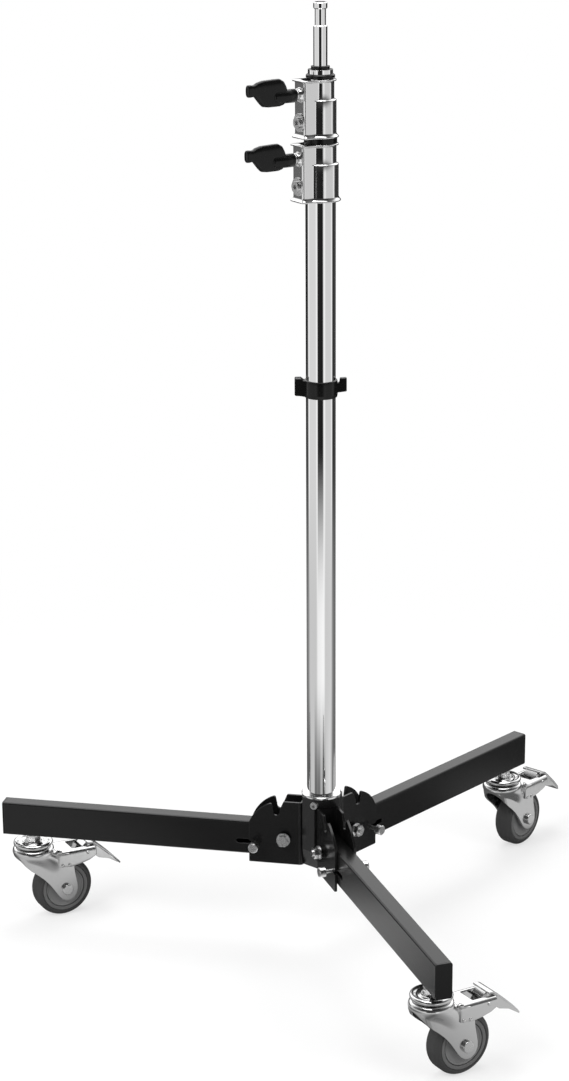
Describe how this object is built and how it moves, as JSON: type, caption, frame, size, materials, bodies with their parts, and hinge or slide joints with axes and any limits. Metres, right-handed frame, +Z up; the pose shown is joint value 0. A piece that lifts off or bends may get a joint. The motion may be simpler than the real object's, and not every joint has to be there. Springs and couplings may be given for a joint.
{
  "type": "wheeled light stand",
  "caption": "Wheeled light stand: telescoping chrome column with locking collars and a top stud, on folding box-section legs with braked swivel castors.",
  "frame": {"origin": "on the column's axis at the level of the floor that the wheels stand on", "axes": "+Z up the column to the stud; the front leg lies along -Y, the right leg 30 degrees above +X, the left leg 30 degrees above -X"},
  "size_m": [0.7843, 0.6641, 1.1562],
  "materials": {
    "chrome_tube": "polished",
    "cast_collar": "polished",
    "black_paint": "satin",
    "black_plastic": "satin",
    "zinc_fasteners": "satin",
    "caster_zinc": "bright zinc",
    "tyre": "matte",
    "wheel_core": "satin",
    "white_plastic": "satin"
  },
  "bodies": {
    "base": {"hub_socket": "black_paint", "foot_ring": "chrome_tube", "hub_screw": "zinc_fasteners", "pivot_fasteners": "zinc_fasteners", "pivot_spacers": "black_plastic", "bracket_front": "black_paint", "bracket_right": "black_paint", "bracket_left": "black_paint", "lower_tube": "chrome_tube", "lower_collar": "cast_collar", "lower_clamp_bolt": "zinc_fasteners", "collar_ring": "black_plastic", "tube_clip": "black_plastic"},
    "middle_riser": {"middle_tube": "chrome_tube", "middle_glide": "white_plastic", "upper_collar": "cast_collar", "upper_clamp_bolt": "zinc_fasteners"},
    "top_riser": {"top_tube": "chrome_tube", "top_glide": "white_plastic", "top_cap": "black_plastic", "stud": "chrome_tube", "stud_washer": "black_plastic"},
    "lower_handle": {"lower_knob": "black_plastic", "lower_knob_screw": "zinc_fasteners"},
    "upper_handle": {"upper_knob": "black_plastic", "upper_knob_screw": "zinc_fasteners"},
    "leg_front": {"leg_front": "black_paint", "end_cap_front": "black_plastic", "lock_pin_front": "zinc_fasteners", "lock_spring_front": "zinc_fasteners", "caster_stem_front": "caster_zinc"},
    "caster_front": {"fork_front": "caster_zinc", "brake_housing_front": "caster_zinc", "axle_front": "zinc_fasteners"},
    "wheel_front": {"tyre_front": "tyre", "wheel_core_front": "wheel_core"},
    "pedal_front": {"brake_pedal_front": "caster_zinc"},
    "leg_right": {"leg_right": "black_paint", "end_cap_right": "black_plastic", "lock_pin_right": "zinc_fasteners", "lock_spring_right": "zinc_fasteners", "caster_stem_right": "caster_zinc"},
    "caster_right": {"fork_right": "caster_zinc", "brake_housing_right": "caster_zinc", "axle_right": "zinc_fasteners"},
    "wheel_right": {"tyre_right": "tyre", "wheel_core_right": "wheel_core"},
    "pedal_right": {"brake_pedal_right": "caster_zinc"},
    "leg_left": {"leg_left": "black_paint", "end_cap_left": "black_plastic", "lock_pin_left": "zinc_fasteners", "lock_spring_left": "zinc_fasteners", "caster_stem_left": "caster_zinc"},
    "caster_left": {"fork_left": "caster_zinc", "brake_housing_left": "caster_zinc", "axle_left": "zinc_fasteners"},
    "wheel_left": {"tyre_left": "tyre", "wheel_core_left": "wheel_core"},
    "pedal_left": {"brake_pedal_left": "caster_zinc"}
  },
  "joints": [
    {"name": "middle_riser_slide", "type": "slide", "parent": "base", "child": "middle_riser", "axis": [0, 0, 1], "range_m": [0, 0.7]},
    {"name": "top_riser_slide", "type": "slide", "parent": "middle_riser", "child": "top_riser", "axis": [0, 0, 1], "range_m": [0, 0.7]},
    {"name": "lower_knob_turn", "type": "hinge", "parent": "base", "child": "lower_handle", "pos_m": [-0.04872, -0.01125, 0.9815], "axis": [-0.9744, -0.225, 0], "range_deg": [0, 360]},
    {"name": "upper_knob_turn", "type": "hinge", "parent": "middle_riser", "child": "upper_handle", "pos_m": [-0.04872, -0.01125, 1.054], "axis": [-0.9744, -0.225, 0], "range_deg": [0, 360]},
    {"name": "leg_fold_front", "type": "hinge", "parent": "base", "child": "leg_front", "pos_m": [0, -0.044, 0.142], "axis": [-1, 0, 0], "range_deg": [0, 90]},
    {"name": "caster_swivel_front", "type": "hinge", "parent": "leg_front", "child": "caster_front", "pos_m": [0, -0.371, 0.09], "axis": [0, 0, 1], "continuous": true},
    {"name": "wheel_spin_front", "type": "hinge", "parent": "caster_front", "child": "wheel_front", "pos_m": [0.0359, -0.36205, 0.038], "axis": [-0.2419, 0.9703, 0], "continuous": true},
    {"name": "pedal_tilt_front", "type": "hinge", "parent": "caster_front", "child": "pedal_front", "pos_m": [0.06404, -0.35503, 0.083], "axis": [0.2419, -0.9703, 0], "range_deg": [0, 25]},
    {"name": "leg_fold_right", "type": "hinge", "parent": "base", "child": "leg_right", "pos_m": [0.0381, 0.022, 0.142], "axis": [0.5, -0.866, 0], "range_deg": [0, 90]},
    {"name": "caster_swivel_right", "type": "hinge", "parent": "leg_right", "child": "caster_right", "pos_m": [0.32129, 0.1855, 0.09], "axis": [0, 0, 1], "continuous": true},
    {"name": "wheel_spin_right", "type": "hinge", "parent": "caster_right", "child": "wheel_right", "pos_m": [0.35301, 0.20456, 0.038], "axis": [-0.515, 0.8572, 0], "continuous": true},
    {"name": "pedal_tilt_right", "type": "hinge", "parent": "caster_right", "child": "pedal_right", "pos_m": [0.37787, 0.21949, 0.083], "axis": [0.515, -0.8572, 0], "range_deg": [0, 25]},
    {"name": "leg_fold_left", "type": "hinge", "parent": "base", "child": "leg_left", "pos_m": [-0.0381, 0.022, 0.142], "axis": [0.5, 0.866, 0], "range_deg": [0, 90]},
    {"name": "caster_swivel_left", "type": "hinge", "parent": "leg_left", "child": "caster_left", "pos_m": [-0.32129, 0.1855, 0.09], "axis": [0, 0, 1], "continuous": true},
    {"name": "wheel_spin_left", "type": "hinge", "parent": "caster_left", "child": "wheel_left", "pos_m": [-0.28486, 0.19193, 0.038], "axis": [-0.1736, 0.9848, 0], "continuous": true},
    {"name": "pedal_tilt_left", "type": "hinge", "parent": "caster_left", "child": "pedal_left", "pos_m": [-0.2563, 0.19696, 0.083], "axis": [0.1736, -0.9848, 0], "range_deg": [0, 25]}
  ]
}
